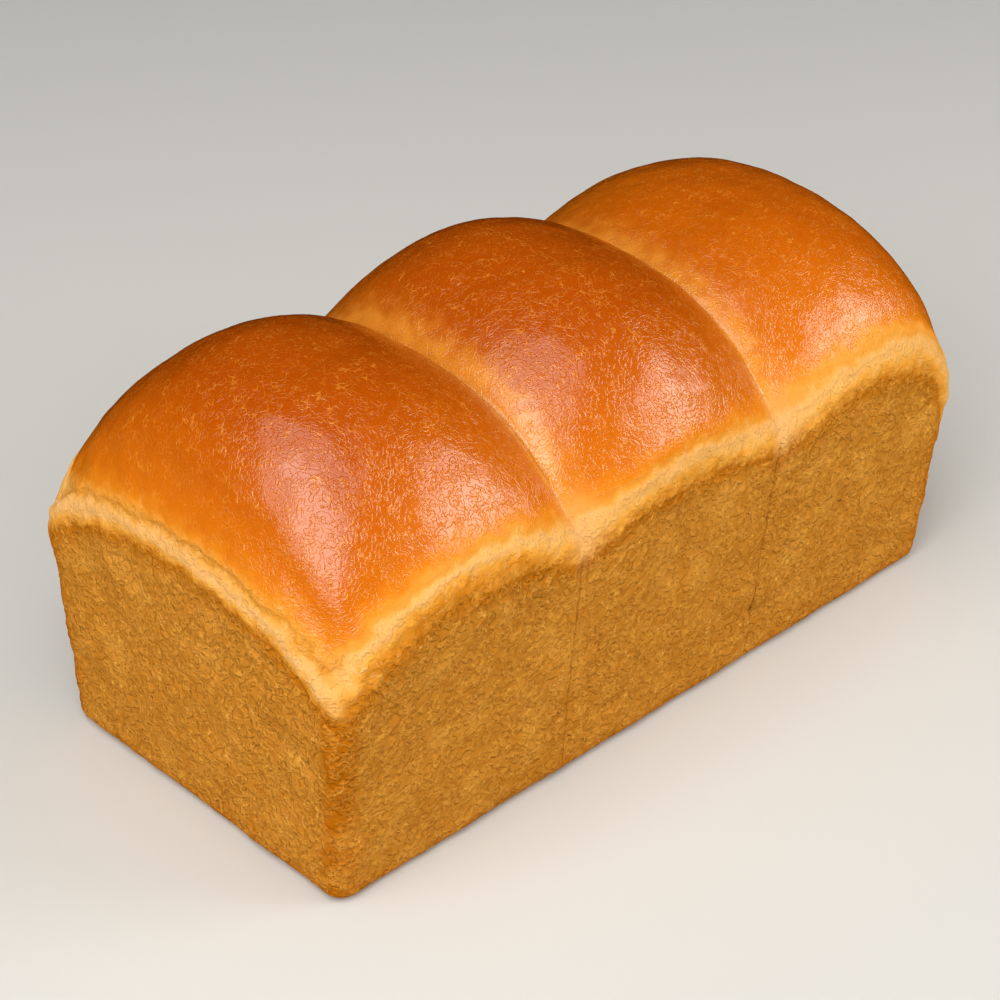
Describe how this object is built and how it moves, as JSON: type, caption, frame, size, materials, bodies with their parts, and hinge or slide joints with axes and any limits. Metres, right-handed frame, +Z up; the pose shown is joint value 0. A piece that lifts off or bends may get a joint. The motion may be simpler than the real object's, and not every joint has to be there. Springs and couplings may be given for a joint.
{
  "type": "tin loaf",
  "caption": "Soft milk loaf baked in an open tin: straight tin-shaped walls, a pale lip at the shoulder and a glossy domed crown that rises in humps divided by creases.",
  "frame": {"origin": "middle of the flat base, on the surface that the loaf stands on", "axes": "+X along the loaf, +Y across it, +Z up through the crown"},
  "size_m": [0.208, 0.102, 0.107],
  "materials": {
    "crust": "baked crust: glossy orange-brown crown, pale cream-yellow shoulder and matt tan walls"
  },
  "bodies": {
    "root": {"loaf": "crust"}
  },
  "joints": []
}
